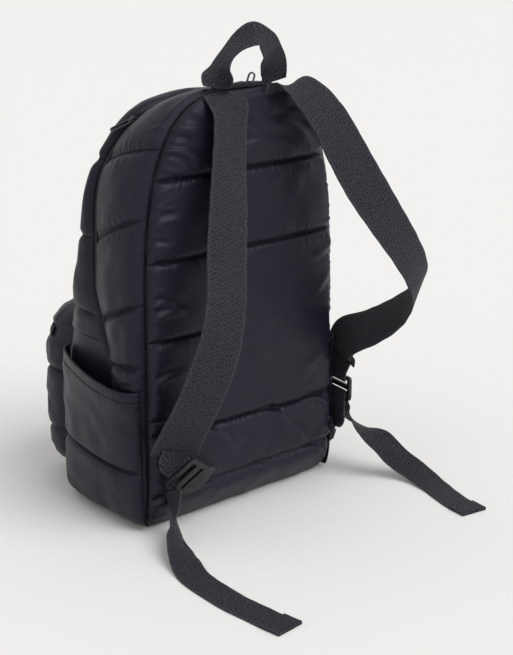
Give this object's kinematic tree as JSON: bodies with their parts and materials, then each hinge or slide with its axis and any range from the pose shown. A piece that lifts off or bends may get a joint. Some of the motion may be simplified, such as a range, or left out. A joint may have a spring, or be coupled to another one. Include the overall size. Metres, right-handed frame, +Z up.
{
  "type": "quilted puffer backpack",
  "caption": "Small upright quilted backpack with padded panels, webbing shoulder straps on ladder locks, a top handle, a zipped front pocket and open side pockets.",
  "frame": {"origin": "on the floor under the bag, 70 mm in front of the back seams and midway between them", "axes": "+Z up, +Y towards the wearer's back, +X towards the side of the left shoulder strap in the picture"},
  "size_m": [0.354, 0.441, 0.4747],
  "materials": {
    "quilted_nylon": "satin",
    "plain_nylon": "satin",
    "webbing": "matte",
    "zip_tape": "matte",
    "lock_plastic": "satin",
    "zip_metal": "satin"
  },
  "bodies": {
    "root": {"back_panel": "quilted_nylon", "gusset": "quilted_nylon", "front_panel": "quilted_nylon", "base_panel": "plain_nylon", "main_zip": "zip_tape", "front_pocket": "quilted_nylon", "front_pocket_zip": "zip_tape", "side_pocket_left": "quilted_nylon", "side_pocket_right": "quilted_nylon", "carry_handle": "webbing", "shoulder_strap_left": "webbing", "ladder_lock_left": "lock_plastic", "lock_loop_left": "webbing", "adjuster_anchor_left": "webbing", "adjuster_tail_left": "webbing", "shoulder_strap_right": "webbing", "ladder_lock_right": "lock_plastic", "lock_loop_right": "webbing", "adjuster_anchor_right": "webbing", "adjuster_tail_right": "webbing", "zip_slider_left": "zip_metal", "zip_puller_left": "zip_metal", "zip_slider_right": "zip_metal", "zip_puller_right": "zip_metal", "zip_slider_pocket": "zip_metal", "zip_puller_pocket": "zip_metal"}
  },
  "joints": []
}
